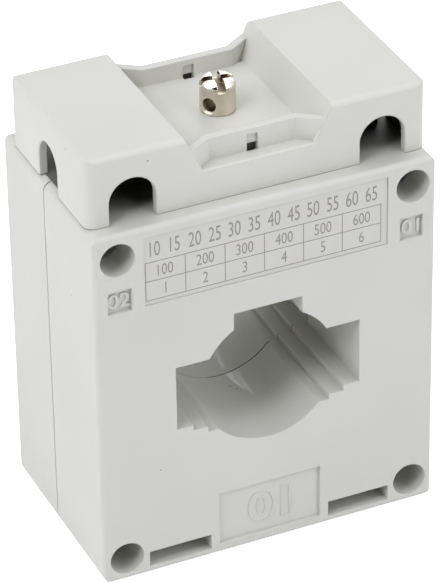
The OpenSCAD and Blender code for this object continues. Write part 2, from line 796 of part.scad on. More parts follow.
// The wire rises beside its leg; side 1 is the start, side -1 the end
function lead_points(side) =
    let (soft = lead_bend * (1 - cos(45)))
    [[side * lead_x, 0, lead_z], [side * lead_x, 0, lead_foot_z + lead_bend],
     [side * lead_x, side * soft, lead_foot_z + soft],
     [side * lead_x, side * lead_bend, lead_foot_z]];
function reversed(list) = [for (i = [len(list) - 1:-1:0]) list[i]];
function unit(v) = v / norm(v);

module secondary_winding() {
    count = turns * wire_steps;
    lead = lead_points(1);
    tail = reversed(lead_points(-1));
    path = concat(lead, [for (j = [0:count - 1]) coil_point(j)], tail);
    last = len(path) - 1;
    aim = [for (i = [0:last])
        let (a = i < len(lead) ? lead_turn
            : i > last - len(tail) ? 180 - lead_turn : coil_angle(i - len(lead)))
        [-sin(a), 0, cos(a)]];
    along = [for (i = [0:last]) unit(path[min(i + 1, last)] - path[max(i - 1, 0)])];
    side_a = [for (i = [0:last]) unit(aim[i] - (aim[i] * along[i]) * along[i])];
    side_b = [for (i = [0:last]) cross(along[i], side_a[i])];
    points = [for (i = [0:last], k = [0:wire_sides - 1])
        let (a = 360 * k / wire_sides)
        path[i] + wire_d / 2 * (cos(a) * side_a[i] + sin(a) * side_b[i])];
    skin = [for (i = [0:last - 1], k = [0:wire_sides - 1])
        let (n = (k + 1) % wire_sides, low = i * wire_sides, high = low + wire_sides)
        [low + k, high + k, high + n, low + n]];
    first_cap = [for (k = [0:wire_sides - 1]) k];
    last_cap = [for (k = [wire_sides - 1:-1:0]) last * wire_sides + k];
    color("#B8652F") polyhedron(points, concat([first_cap], skin, [last_cap]));
}

front_shell();
rear_shell();
terminal_cover();
sealing_screw();
sealing_bush();
rating_label();
core();
core_ring(-1);  // core_ring_front
core_ring(1);  // core_ring_rear
core_film();
secondary_winding();
coil_tape();
pad(-1);  // pad_front
pad(1);  // pad_rear
lead_sleeve(left);  // lead_sleeve_left
lead_sleeve(right);  // lead_sleeve_right
terminal_plate(left);  // terminal_plate_left
terminal_plate(right);  // terminal_plate_right
terminal_nut(left);  // terminal_nut_left
terminal_nut(right);  // terminal_nut_right
clamp_washer(left);  // clamp_washer_left
clamp_washer(right);  // clamp_washer_right
spring_washer(left);  // spring_washer_left
spring_washer(right);  // spring_washer_right
terminal_screw(left);  // terminal_screw_left
terminal_screw(right);  // terminal_screw_right
case_screws();
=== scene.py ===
import math

import bmesh
import bpy
from mathutils import Euler, Matrix, Vector


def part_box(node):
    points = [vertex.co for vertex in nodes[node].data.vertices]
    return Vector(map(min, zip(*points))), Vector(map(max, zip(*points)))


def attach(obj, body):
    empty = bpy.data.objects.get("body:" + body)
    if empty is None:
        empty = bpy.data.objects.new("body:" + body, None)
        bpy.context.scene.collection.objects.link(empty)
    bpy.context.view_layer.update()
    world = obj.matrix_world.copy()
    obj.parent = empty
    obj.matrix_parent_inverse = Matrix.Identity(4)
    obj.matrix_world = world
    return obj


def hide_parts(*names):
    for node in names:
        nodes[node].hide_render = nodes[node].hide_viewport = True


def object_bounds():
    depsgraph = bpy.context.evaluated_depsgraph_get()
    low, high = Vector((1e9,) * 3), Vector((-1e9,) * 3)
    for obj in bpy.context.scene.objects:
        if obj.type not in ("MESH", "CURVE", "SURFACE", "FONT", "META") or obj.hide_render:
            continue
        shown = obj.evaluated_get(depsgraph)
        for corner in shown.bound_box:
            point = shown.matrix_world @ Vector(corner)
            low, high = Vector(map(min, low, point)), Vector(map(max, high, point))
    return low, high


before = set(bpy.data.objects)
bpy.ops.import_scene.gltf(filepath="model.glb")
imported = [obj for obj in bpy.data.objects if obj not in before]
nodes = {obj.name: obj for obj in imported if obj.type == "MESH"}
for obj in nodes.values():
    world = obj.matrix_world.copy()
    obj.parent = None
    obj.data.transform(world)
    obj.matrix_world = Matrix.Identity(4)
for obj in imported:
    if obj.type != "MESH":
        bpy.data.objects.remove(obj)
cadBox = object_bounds()
mm = 0.001
print("frame loaded with", len(nodes), "nodes")


def deselectAll():
    for obj in list(bpy.context.selected_objects):
        obj.select_set(False)


def pick(obj):
    # only this object is selected and active
    deselectAll()
    obj.select_set(True)
    bpy.context.view_layer.objects.active = obj


def editMode(obj, mode="VERT"):
    pick(obj)
    bpy.ops.object.mode_set(mode="EDIT")
    bpy.ops.mesh.select_mode(type=mode)


def objectMode():
    bpy.ops.object.mode_set(mode="OBJECT")


def selectEdges(obj, test):
    # edges are chosen in code, by their place and by the angle of the faces beside them
    mesh = bmesh.from_edit_mesh(obj.data)
    bpy.ops.mesh.select_all(action="DESELECT")
    for edge in mesh.edges:
        if edge.is_manifold and test(edge):
            edge.select_set(True)
    bmesh.update_edit_mesh(obj.data)


def applyModifiers(obj):
    pick(obj)
    for modifier in list(obj.modifiers):
        bpy.ops.object.modifier_apply(modifier=modifier.name)


def applyPlace(obj):
    # the object ends at the origin, with its place in its mesh
    pick(obj)
    bpy.ops.object.transform_apply(location=True, rotation=True, scale=True)


def mergedCopy(nodeName, pieceName):
    # a merged copy of a CAD node, with its flat faces joined up again
    piece = bpy.data.objects.new(pieceName, nodes[nodeName].data.copy())
    bpy.context.scene.collection.objects.link(piece)
    editMode(piece)
    bpy.ops.mesh.select_all(action="SELECT")
    bpy.ops.mesh.remove_doubles(threshold=0.002 * mm)
    bpy.ops.mesh.dissolve_limited(angle_limit=math.radians(0.6))
    objectMode()
    return piece


def markCorners(obj, angle=22):
    # every corner is marked first, so that what isn't rounded stays crisp
    editMode(obj, "EDGE")
    selectEdges(obj, lambda edge: abs(edge.calc_face_angle_signed(0)) > math.radians(angle))
    bpy.ops.mesh.mark_sharp()
    objectMode()


def roundEdges(obj, width, place, sharp=60, segments=2):
    # the outward corners that the mould or the cutter left are broken by a small round
    def outward(edge):
        middle = (edge.verts[0].co + edge.verts[1].co) / (2 * mm)
        return edge.calc_face_angle_signed(0) > math.radians(sharp) and place(middle, edge)
    editMode(obj, "EDGE")
    selectEdges(obj, outward)
    bpy.ops.mesh.bevel(offset=width * mm, segments=segments, affect="EDGES", clamp_overlap=True,
                       profile=0.5)
    objectMode()


def smoothFaces(obj):
    # flat faces stay flat and only the rounds shade smoothly
    pick(obj)
    bpy.ops.object.shade_smooth(keep_sharp_edges=True)
    weighted = obj.modifiers.new("flatFaces", "WEIGHTED_NORMAL")
    weighted.weight = 100
    weighted.keep_sharp = True
    applyModifiers(obj)


def joinUp(pieces, pieceName):
    deselectAll()
    for piece in pieces:
        piece.select_set(True)
    bpy.context.view_layer.objects.active = pieces[0]
    bpy.ops.object.join()
    pieces[0].name = pieceName
    return pieces[0]


def finishPiece(piece, material, replacedNodes=()):
    piece.data.materials.clear()
    piece.data.materials.append(material)
    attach(piece, "root")
    if replacedNodes:
        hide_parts(*replacedNodes)
    print(piece.name, "has", len(piece.data.polygons), "faces")


def linear(hexColour):
    # sRGB hex to the linear values that a shader wants
    parts = [int(hexColour[i:i + 2], 16) / 255 for i in (1, 3, 5)]
    return tuple(v / 12.92 if v <= 0.04045 else ((v + 0.055) / 1.055) ** 2.4 for v in parts) + (1.0,)


def addNode(tree, kind, settings=None, links=None):
    # settings name the node's own fields or its input sockets, links name where an input comes from
    made = tree.nodes.new(kind)
    for name, value in (settings or {}).items():
        if name in made.inputs:
            made.inputs[name].default_value = value
        else:
            setattr(made, name, value)
    for name, source in (links or {}).items():
        tree.links.new(source, made.inputs[name])
    return made


def newMaterial(name):
    material = bpy.data.materials.new(name)
    material.use_nodes = True
    tree = material.node_tree
    tree.nodes.clear()
    shader = addNode(tree, "ShaderNodeBsdfPrincipled")
    addNode(tree, "ShaderNodeOutputMaterial", links={"Surface": shader.outputs["BSDF"]})
    place = addNode(tree, "ShaderNodeTexCoord")
    return material, tree, shader, place.outputs["Object"]


def perMetre(sizeInMm):
    # noise scale for a feature of that size
    return 1 / (sizeInMm * mm)


def mixColours(tree, factor, first, second):
    # first and second are colours or the outputs of other nodes
    mix = addNode(tree, "ShaderNodeMix", {"data_type": "RGBA"})
    tree.links.new(factor, mix.inputs[0])
    for socket, colour in ((mix.inputs[6], first), (mix.inputs[7], second)):
        if isinstance(colour, tuple):
            socket.default_value = colour
        else:
            tree.links.new(colour, socket)
    return mix.outputs[2]


plastic = {
    "flowMark": 26, "flowFrom": 0.35, "flowTo": 0.65, "glossier": 0.05, "duller": 0.06, "ior": 1.5,
    "grain": 0.22, "grainDepth": 0.012, "grainShows": 0.1, "edgeRound": 0.22, "edgeSamples": 4,
    "speckColour": "#6B655C", "speckRadius": 0.2, "speckCover": 0.9,
    "dustAndShade": "#55544C", "dustAndShadeWide": 0.06, "dustAndShadeFade": 0.05, "dustAndShadeCover": 0.85,
    "shadowUnderCover": "#2E2F29", "unshadedTo": 12.5, "fullShadowFrom": 7.5, "shadowUnderCoverStrength": 0.8, "topSlack": 0.05,
}


def nearLevel(tree, place, axis, level, awayFrom, awayBy):
    # a thin band about a level of that axis, except within a distance of a point: the mask of a line of dust
    # and painted shade
    parts = addNode(tree, "ShaderNodeSeparateXYZ", links={"Vector": place})
    away = addNode(tree, "ShaderNodeMath", {"operation": "SUBTRACT"}, {0: parts.outputs[axis]})
    away.inputs[1].default_value = level * mm
    size = addNode(tree, "ShaderNodeMath", {"operation": "ABSOLUTE"}, {0: away.outputs[0]})
    band = addNode(tree, "ShaderNodeMapRange",
                   {"From Min": plastic["dustAndShadeWide"] * mm,
                    "From Max": (plastic["dustAndShadeWide"] + plastic["dustAndShadeFade"]) * mm,
                    "To Min": plastic["dustAndShadeCover"], "To Max": 0.0}, {"Value": size.outputs[0]})
    distance = addNode(tree, "ShaderNodeVectorMath", {"operation": "DISTANCE"}, {0: place})
    distance.inputs[1].default_value = Vector(awayFrom) * mm
    outside = addNode(tree, "ShaderNodeMath", {"operation": "GREATER_THAN"},
                      {0: distance.outputs["Value"]})
    outside.inputs[1].default_value = awayBy * mm
    both = addNode(tree, "ShaderNodeMath", {"operation": "MULTIPLY"},
                   {0: band.outputs["Result"], 1: outside.outputs[0]})
    return both.outputs[0]


def underCover(tree, place):
    # how far in a point of the case top lies under the cover, where it gets painted shadow
    parts = addNode(tree, "ShaderNodeSeparateXYZ", links={"Vector": place})
    top = addNode(tree, "ShaderNodeMath", {"operation": "GREATER_THAN"}, {0: parts.outputs[2]})
    top.inputs[1].default_value = (caseTop - plastic["topSlack"]) * mm
    depth = addNode(tree, "ShaderNodeMath", {"operation": "ABSOLUTE"}, {0: parts.outputs[1]})
    inward = addNode(tree, "ShaderNodeMapRange",
                     {"From Min": plastic["unshadedTo"] * mm, "From Max": plastic["fullShadowFrom"] * mm,
                      "To Min": 0.0, "To Max": plastic["shadowUnderCoverStrength"]}, {"Value": depth.outputs[0]})
    both = addNode(tree, "ShaderNodeMath", {"operation": "MULTIPLY"},
                   {0: top.outputs[0], 1: inward.outputs["Result"]})
    return both.outputs[0]


def mouldedPlastic(name, main, shade, roughness, specks=(), dustAndShadeLine=None, shadowedUnderCover=False):
    # moulded ABS: an even satin colour with faint flow marks, a fine eroded grain, a few dark specks,
    # a thin line of dust and painted shade where two pieces meet and painted shadow where the case top lies
    # under the cover
    material, tree, shader, place = newMaterial(name)
    flow = addNode(tree, "ShaderNodeTexNoise",
                   {"Scale": perMetre(plastic["flowMark"]), "Detail": 3.0, "Roughness": 0.45},
                   {"Vector": place})
    band = addNode(tree, "ShaderNodeMapRange",
                   {"From Min": plastic["flowFrom"], "From Max": plastic["flowTo"]},
                   {"Value": flow.outputs["Fac"]})
    body = mixColours(tree, band.outputs["Result"], linear(main), linear(shade))
    for speck in specks:
        distance = addNode(tree, "ShaderNodeVectorMath", {"operation": "DISTANCE"}, {0: place})
        distance.inputs[1].default_value = Vector(speck) * mm
        dot = addNode(tree, "ShaderNodeMapRange",
                      {"From Min": plastic["speckRadius"] / 2 * mm,
                       "From Max": plastic["speckRadius"] * mm,
                       "To Min": plastic["speckCover"], "To Max": 0.0},
                      {"Value": distance.outputs["Value"]})
        body = mixColours(tree, dot.outputs["Result"], body, linear(plastic["speckColour"]))
    if dustAndShadeLine:
        body = mixColours(tree, nearLevel(tree, place, *dustAndShadeLine), body, linear(plastic["dustAndShade"]))
    if shadowedUnderCover:
        body = mixColours(tree, underCover(tree, place), body, linear(plastic["shadowUnderCover"]))
    tree.links.new(body, shader.inputs["Base Color"])
    sheen = addNode(tree, "ShaderNodeMapRange",
                    {"To Min": roughness - plastic["glossier"], "To Max": roughness + plastic["duller"]},
                    {"Value": flow.outputs["Fac"]})
    tree.links.new(sheen.outputs["Result"], shader.inputs["Roughness"])
    soft = addNode(tree, "ShaderNodeBevel",
                   {"samples": plastic["edgeSamples"], "Radius": plastic["edgeRound"] * mm})
    fine = addNode(tree, "ShaderNodeTexNoise", {"Scale": perMetre(plastic["grain"]), "Detail": 2.0},
                   {"Vector": place})
    bump = addNode(tree, "ShaderNodeBump",
                   {"Strength": plastic["grainShows"], "Distance": plastic["grainDepth"] * mm},
                   {"Height": fine.outputs["Fac"], "Normal": soft.outputs["Normal"]})
    tree.links.new(bump.outputs["Normal"], shader.inputs["Normal"])
    shader.inputs["IOR"].default_value = plastic["ior"]
    return material


mottling = {"sheenSpread": 0.06, "glossiest": 0.02, "grainShows": 0.2}


def mottledFinish(name, colour, darker, roughness, metallic=0.0, grain=0.4, bumpDeep=0.01, ior=1.5):
    # a finish with a fine mottled grain, for the small pieces; grain and bumpDeep are in mm
    material, tree, shader, place = newMaterial(name)
    mottle = addNode(tree, "ShaderNodeTexNoise", {"Scale": perMetre(grain), "Detail": 3.0},
                     {"Vector": place})
    mixed = mixColours(tree, mottle.outputs["Fac"], linear(colour), linear(darker))
    tree.links.new(mixed, shader.inputs["Base Color"])
    spread = addNode(tree, "ShaderNodeMapRange",
                     {"To Min": max(roughness - mottling["sheenSpread"], mottling["glossiest"]),
                      "To Max": roughness + mottling["sheenSpread"]}, {"Value": mottle.outputs["Fac"]})
    tree.links.new(spread.outputs["Result"], shader.inputs["Roughness"])
    bump = addNode(tree, "ShaderNodeBump",
                   {"Strength": mottling["grainShows"], "Distance": bumpDeep * mm},
                   {"Height": mottle.outputs["Fac"]})
    tree.links.new(bump.outputs["Normal"], shader.inputs["Normal"])
    shader.inputs["Metallic"].default_value = metallic
    if not metallic:
        shader.inputs["IOR"].default_value = ior
    return material


nickelPlate = {
    "bright": "#E2DACB", "stained": "#D0C6B3", "crownHighlight": "#EFEAE2", "stain": 1.4,
    "toolRing": 0.35, "wavesInScale": 20, "ringDepth": 0.008, "ringShows": 0.2, "satin": 0.3, "mirror": 0.07,
    "crownFrom": 77.55, "crownTo": 77.8,
    "inside": "#857A6A", "insideTo": 2.1, "insideFade": 0.35, "insideTop": 78.35, "topFade": 0.25,
}


def turnedNickel(name):
    # nickel plate over turned brass: a warm satin barrel with fine tool rings under a mirror-bright crown; the
    # crown's whiter colour is a painted highlight
    material, tree, shader, place = newMaterial(name)
    parts = addNode(tree, "ShaderNodeSeparateXYZ", links={"Vector": place})
    crown = addNode(tree, "ShaderNodeMapRange",
                    {"From Min": nickelPlate["crownFrom"] * mm, "From Max": nickelPlate["crownTo"] * mm},
                    {"Value": parts.outputs[2]})
    rings = addNode(tree, "ShaderNodeTexWave",
                    {"wave_type": "BANDS", "bands_direction": "Z",
                     "Scale": perMetre(nickelPlate["toolRing"]) / nickelPlate["wavesInScale"],
                     "Distortion": 0.5, "Detail": 1.0}, {"Vector": place})
    stain = addNode(tree, "ShaderNodeTexNoise", {"Scale": perMetre(nickelPlate["stain"]), "Detail": 4.0},
                    {"Vector": place})
    barrel = mixColours(tree, stain.outputs["Fac"], linear(nickelPlate["bright"]),
                        linear(nickelPlate["stained"]))
    # the crown is whiter than the barrel: a painted highlight over its real mirror gloss
    plated = mixColours(tree, crown.outputs["Result"], barrel, linear(nickelPlate["crownHighlight"]))
    flat = addNode(tree, "ShaderNodeVectorMath", {"operation": "MULTIPLY"}, {0: place})
    flat.inputs[1].default_value = (1, 1, 0)
    radius = addNode(tree, "ShaderNodeVectorMath", {"operation": "LENGTH"}, {0: flat.outputs[0]})
    near = addNode(tree, "ShaderNodeMapRange",
                   {"From Min": nickelPlate["insideTo"] * mm,
                    "From Max": (nickelPlate["insideTo"] + nickelPlate["insideFade"]) * mm,
                    "To Min": 1.0, "To Max": 0.0}, {"Value": radius.outputs["Value"]})
    below = addNode(tree, "ShaderNodeMapRange",
                    {"From Min": (nickelPlate["insideTop"] - nickelPlate["topFade"]) * mm,
                     "From Max": nickelPlate["insideTop"] * mm, "To Min": 1.0, "To Max": 0.0},
                    {"Value": parts.outputs[2]})
    inside = addNode(tree, "ShaderNodeMath", {"operation": "MULTIPLY"},
                     {0: near.outputs["Result"], 1: below.outputs["Result"]})
    tree.links.new(mixColours(tree, inside.outputs[0], plated, linear(nickelPlate["inside"])),
                   shader.inputs["Base Color"])
    gloss = addNode(tree, "ShaderNodeMapRange",
                    {"To Min": nickelPlate["satin"], "To Max": nickelPlate["mirror"]},
                    {"Value": crown.outputs["Result"]})
    tree.links.new(gloss.outputs["Result"], shader.inputs["Roughness"])
    bump = addNode(tree, "ShaderNodeBump",
                   {"Strength": nickelPlate["ringShows"], "Distance": nickelPlate["ringDepth"] * mm},
                   {"Height": rings.outputs["Fac"]})
    tree.links.new(bump.outputs["Normal"], shader.inputs["Normal"])
    shader.inputs["Metallic"].default_value = 1.0
    return material


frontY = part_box("front_shell")[0].y / mm
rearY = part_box("rear_shell")[1].y / mm
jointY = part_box("rear_shell")[0].y / mm
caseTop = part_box("terminal_cover")[0].z / mm
windowZ = 32.8  # middle of the window
windowReach = 25  # no dust line within this distance of it
coverReach = 12  # nor within this distance of the middle of the case top
caseSpecks = [(-19.43, -18.45, 19.91), (-16.2, -14.5, 22.6), (-29.9, -9.0, 51.0), (0.97, -3.7, 20.85),
              (0.3, -2.4, 20.82)]
coverSpecks = [(-29.6, -8.0, 77.3), (-29.3, -9.4, 70.4), (-19.0, -15.6, 76.4)]
# the case gets a line of dust and painted shade along the joint of its halves, and painted shadow on its top
# under the cover
casePlastic = mouldedPlastic("mouldedAbsCase", "#CACAC2", "#C7C7BF", 0.44, caseSpecks,
                             (1, jointY, (0, jointY, windowZ), windowReach), shadowedUnderCover=True)
# the foot of the cover gets a thin line of painted shadow where it stands on the case top
coverPlastic = mouldedPlastic("mouldedAbsCover", "#CDCDC4", "#CACAC1", 0.42, coverSpecks,
                              (2, caseTop, (0, 0, caseTop), coverReach))
# the inside of the cover is painted dark and dull, as painted shade that shows through the arches
coverPaintedShade = mouldedPlastic("paintedShadeCoverInside", "#45463E", "#3D3E37", 0.6)
# a joint full of dust, with painted shade in its groove, reads as a thin dark line
jointDustAndShade = mottledFinish("dustAndShadeInTheJoint", "#35342D", "#2B2A24", 0.9)
# a pale, shiny patch on the bore is a painted highlight: the glint along the smooth bore
paintedGlint = mottledFinish("paintedGlint", "#D8D7D3", "#C2C1BD", 0.12, grain=1.2, ior=1.75)
# the label is a little greyer and smoother than the plastic round it, and its ink is soft and flat
labelFilm = mottledFinish("satinLabelFilm", "#C9C8C0", "#C6C5BD", 0.36, grain=1.5)
labelInk = mottledFinish("greyScreenInk", "#868580", "#8F8E89", 0.5, grain=0.3)
nickel = turnedNickel("nickelPlatedBrass")
# cut brass is yellow and half bright, zinc plate is a cool dull grey, and the core is darker with an edge grain
brass = mottledFinish("bareBrass", "#C9A450", "#B8923F", 0.3, metallic=1.0)
zincSteel = mottledFinish("zincPlatedSteel", "#B9BBBE", "#A3A5A9", 0.34, metallic=1.0)
coreSteel = mottledFinish("siliconSteelStrip", "#7B7E82", "#65686C", 0.42, metallic=1.0, grain=0.3)
# enamel over copper is red-brown and glossy, and the films and tapes are smooth and yellow
copperWire = mottledFinish("enamelledCopper", "#B5642C", "#9C4F1E", 0.24, metallic=0.6, grain=0.8)
amberFilm = mottledFinish("polyesterFilm", "#DCCB8E", "#D0BD7C", 0.25, grain=2)
yellowTape = mottledFinish("polyesterTape", "#E0B93C", "#D4AA2E", 0.3, grain=2)
# board, foam and sleeving are matt: fibrous brown, pitted black and woven cream
pressboard = mottledFinish("pressboard", "#B39564", "#9E8152", 0.75, grain=0.5)
foam = mottledFinish("closedCellFoam", "#3A3B3D", "#2A2B2C", 0.9, grain=0.5, bumpDeep=0.1)
sleeving = mottledFinish("varnishedGlassSleeving", "#D9D4C4", "#C6C0AE", 0.5, grain=0.3)
print("materials ready")

nodeMaterials = {
    "sealing_bush": brass, "core": coreSteel, "core_ring_front": pressboard, "core_ring_rear": pressboard,
    "core_film": amberFilm, "secondary_winding": copperWire, "coil_tape": yellowTape,
    "pad_front": foam, "pad_rear": foam, "lead_sleeve_left": sleeving, "lead_sleeve_right": sleeving,
    "terminal_plate_left": nickel, "terminal_plate_right": nickel,
    "terminal_nut_left": brass, "terminal_nut_right": brass,
    "clamp_washer_left": zincSteel, "clamp_washer_right": zincSteel,
    "spring_washer_left": zincSteel, "spring_washer_right": zincSteel,
    "terminal_screw_left": zincSteel, "terminal_screw_right": zincSteel, "case_screws": zincSteel,
}
for nodeName, material in nodeMaterials.items():
    nodes[nodeName].data.materials.clear()
    nodes[nodeName].data.materials.append(material)


caseEdges = {
    "rim": 0.22, "planeSlack": 0.03, "jointHalf": 0.12, "boreFrom": -1.5, "boreTo": 8.8, "largest": 20,
    "windowHalf": 22, "windowRise": 17, "boreRadius": 12.0, "jointFill": 0.02,
    "grooveFrom": 0.05, "grooveTo": 0.8, "parallel": 0.99, "upright": 0.3, "shortest": 1,
}


def onFaceRim(middle, edge):
    # rims of the holes, slots and recesses in the front and rear faces
    return min(abs(middle.y - frontY), abs(middle.y - rearY)) < caseEdges["planeSlack"]


def inWindow(middle):
    return abs(middle.x) < caseEdges["windowHalf"] and abs(middle.z - windowZ) < caseEdges["windowRise"]


def onWindowEdge(middle, edge):
    # the long edges of the steps and slots that run through the window
    along = (edge.verts[0].co - edge.verts[1].co).normalized()
    longEnough = edge.calc_length() > caseEdges["shortest"] * mm
    return inWindow(middle) and abs(along.y) > caseEdges["parallel"] and longEnough


def closeTheJoint(shell):
    # on the left of the bore the two halves meet tightly, so the groove is all but filled there
    for vertex in shell.data.vertices:
        fromAxis = Vector((vertex.co.x / mm, vertex.co.z / mm - windowZ))
        atJoint = abs(vertex.co.y / mm - jointY) < 2 * caseEdges["jointHalf"]
        inGroove = caseEdges["grooveFrom"] < fromAxis.length - caseEdges["boreRadius"] < caseEdges["grooveTo"]
        if atJoint and inGroove and fromAxis.x < caseEdges["boreFrom"] and fromAxis.y < 0:
            fromAxis *= (caseEdges["boreRadius"] + caseEdges["jointFill"]) / fromAxis.length
            vertex.co.x = fromAxis.x * mm
            vertex.co.z = (fromAxis.y + windowZ) * mm


def dustAndShadeTheJoint(shell):
    # inside the window the joint is painted as a dark line of dust and shade on the bore and as ticks on the
    # steps' upright faces
    shell.data.materials.append(jointDustAndShade)
    for face in shell.data.polygons:
        middle = face.center / mm
        small = face.area < caseEdges["largest"] * mm * mm
        inJoint = abs(middle.y - jointY) < caseEdges["jointHalf"] and small
        onBore = caseEdges["boreFrom"] < middle.x < caseEdges["boreTo"]
        onStep = middle.x > caseEdges["boreTo"] and abs(face.normal.z) < caseEdges["upright"]
        if inJoint and inWindow(middle) and (onBore or onStep):
            face.material_index = 1


for nodeName, pieceName in (("front_shell", "frontShell"), ("rear_shell", "rearShell")):
    shell = mergedCopy(nodeName, pieceName)
    closeTheJoint(shell)
    markCorners(shell)
    roundEdges(shell, caseEdges["rim"],
               lambda middle, edge: onFaceRim(middle, edge) or onWindowEdge(middle, edge))
    smoothFaces(shell)
    finishPiece(shell, casePlastic, [nodeName])
    dustAndShadeTheJoint(shell)


coverEdges = {
    "archRim": 0.22, "planeSlack": 0.03, "archBelow": 9.0, "footAbove": 0.1, "wall": 1.45, "valleyHalf": 13.5,
    "valleyUnder": 4, "inward": -0.1, "downward": -0.3,
}
coverLow, coverHigh = (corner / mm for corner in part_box("terminal_cover"))


def onArchRim(middle, edge):
    # rims of the wire arches in the four walls of the cover
    fromWall = min(abs(abs(middle.x) - coverHigh.x), abs(abs(middle.y) - coverHigh.y))
    rise = middle.z - coverLow.z
    return fromWall < coverEdges["planeSlack"] and coverEdges["footAbove"] < rise < coverEdges["archBelow"]


def cutAway(body, tool):
    # the tool is subtracted from the body and deleted
    cut = body.modifiers.new("cut", "BOOLEAN")
    cut.operation = "DIFFERENCE"
    cut.solver = "EXACT"
    cut.object = tool
    applyModifiers(body)
    pick(tool)
    bpy.ops.object.delete()


cover = mergedCopy("terminal_cover", "terminalCover")
wireSlot = {"half": 0.95, "from": 11.55, "into": 0.6, "floor": 6.7, "over": 0.01}
for side in (-1, 1):
    # the seal-wire slots run on as a small pocket in the valley floor
    bpy.ops.mesh.primitive_cube_add(size=1)
    pocket = bpy.context.object
    pocket.scale = (2 * wireSlot["half"] * mm, (wireSlot["into"] + wireSlot["over"]) * mm,
                    (wireSlot["floor"] + wireSlot["over"]) * mm)
    pocket.location = Vector((0, side * (wireSlot["from"] + (wireSlot["over"] - wireSlot["into"]) / 2),
                              caseTop + (wireSlot["floor"] + wireSlot["over"]) / 2)) * mm
    applyPlace(pocket)
    cutAway(cover, pocket)
markCorners(cover)
roundEdges(cover, coverEdges["archRim"], onArchRim)
smoothFaces(cover)
finishPiece(cover, coverPlastic, ["terminal_cover"])
cover.data.materials.append(coverPaintedShade)
innerX = coverHigh.x - coverEdges["wall"] + coverEdges["planeSlack"]
innerY = coverHigh.y - coverEdges["wall"] + coverEdges["planeSlack"]
for face in cover.data.polygons:
    middle = face.center / mm
    within = abs(middle.x) < innerX and abs(middle.y) < innerY
    facesIn = face.normal.x * middle.x + face.normal.y * middle.y < coverEdges["inward"]
    underHump = abs(middle.x) > coverEdges["valleyHalf"] or middle.z < caseTop + coverEdges["valleyUnder"]
    if within and (face.normal.z < coverEdges["downward"] or (facesIn and underHump)):
        face.material_index = 1  # the inside, painted dark as shade


slotWeb = {
    "foot": -1.2, "rise": 0.35, "top": 2.1, "middle": 12.3, "thick": 0.3, "webOut": -0.18, "darkIn": 0.3,
    "lip": 0.1,
}
webs = []
for side in (-1, 1):
    # a thin web closes the upper part of each seal-wire slot, and a dark plate behind its open foot is painted
    # shade
    for low, high, back in ((slotWeb["foot"], slotWeb["rise"], slotWeb["darkIn"]),
                            (slotWeb["rise"], slotWeb["top"], slotWeb["webOut"])):
        bpy.ops.mesh.primitive_cube_add(size=1)
        web = bpy.context.object
        web.scale = (2 * wireSlot["half"] * mm, slotWeb["thick"] * mm, (high - low) * mm)
        web.location = Vector((0, side * slotWeb["middle"] + back,
                               caseTop + wireSlot["floor"] + (low + high) / 2)) * mm
        applyPlace(web)
        webs.append(web)
slotWebs = joinUp(webs, "slotWebs")
finishPiece(slotWebs, coverPlastic)
slotWebs.data.materials.append(coverPaintedShade)
for face in slotWebs.data.polygons:
    if face.center.z / mm < caseTop + wireSlot["floor"] + slotWeb["rise"] - slotWeb["lip"]:
        face.material_index = 1  # the foot, painted dark as shade


screwForm = {
    "headWide": 5.9, "headHigh": 5.8, "crown": 1.1, "foot": 0.25, "crossWide": 1.3, "crossDeep": 1.6,
    "crossTurn": -10, "holeWide": 2.4, "holeRise": 1.9, "holeTurn": 35, "mouthWide": 2.9, "mouthFrom": 2.72,
    "shankWide": 4.0, "shankLong": 10.5, "skin": 0.07, "polish": 7, "floor": 6.7, "sides": 96, "holeSides": 48,
    "crownSteps": 10, "footSteps": 2, "levelSlack": 0.01,
}


def roundBar(wide, low, high, sides):
    # the screw is made at one metre for each millimetre and scaled down at the end
    bpy.ops.mesh.primitive_cylinder_add(vertices=sides, radius=wide / 2, depth=high - low,
                                        location=(0, 0, (low + high) / 2))
    bar = bpy.context.object
    applyPlace(bar)
    return bar


deselectAll()
head = roundBar(screwForm["headWide"], 0, screwForm["headHigh"], screwForm["sides"])
for level, width, steps in ((screwForm["headHigh"], screwForm["crown"], screwForm["crownSteps"]),
                            (0, screwForm["foot"], screwForm["footSteps"])):
    editMode(head, "EDGE")
    selectEdges(head, lambda edge: all(abs(v.co.z - level) < screwForm["levelSlack"] for v in edge.verts))
    bpy.ops.mesh.bevel(offset=width, segments=steps, affect="EDGES", profile=0.5)
    objectMode()
for turn in (0, 90):
    bpy.ops.mesh.primitive_cube_add(size=1, location=(0, 0, screwForm["headHigh"]))
    slot = bpy.context.object
    slot.scale = (2 * screwForm["headWide"], screwForm["crossWide"], 2 * screwForm["crossDeep"])
    slot.rotation_euler.z = math.radians(screwForm["crossTurn"] + turn)
    applyPlace(slot)
    cutAway(head, slot)
reach = screwForm["headWide"]
for wide, low, high in ((screwForm["holeWide"], -reach, reach),
                        (screwForm["mouthWide"], screwForm["mouthFrom"], reach),
                        (screwForm["mouthWide"], -reach, -screwForm["mouthFrom"])):
    wireHole = roundBar(wide, low, high, screwForm["holeSides"])
    wireHole.rotation_euler = (0, math.radians(90), math.radians(screwForm["holeTurn"]))
    wireHole.location.z = screwForm["holeRise"]
    applyPlace(wireHole)
    cutAway(head, wireHole)
skin = head.modifiers.new("skin", "REMESH")
skin.mode = "VOXEL"
skin.voxel_size = screwForm["skin"]
polish = head.modifiers.new("polish", "SMOOTH")
polish.factor = 0.5
polish.iterations = screwForm["polish"]
applyModifiers(head)
bpy.ops.object.shade_smooth()
shank = roundBar(screwForm["shankWide"], -screwForm["shankLong"], 0, screwForm["holeSides"])
sealingScrew = joinUp([head, shank], "sealingScrew")
sealingScrew.scale = (mm, mm, mm)
sealingScrew.location.z = (caseTop + screwForm["floor"]) * mm
applyPlace(sealingScrew)
finishPiece(sealingScrew, nickel, ["sealing_screw"])


typeface = {"capHeight": 0.7, "curveSteps": 4, "outlineSteps": 2}


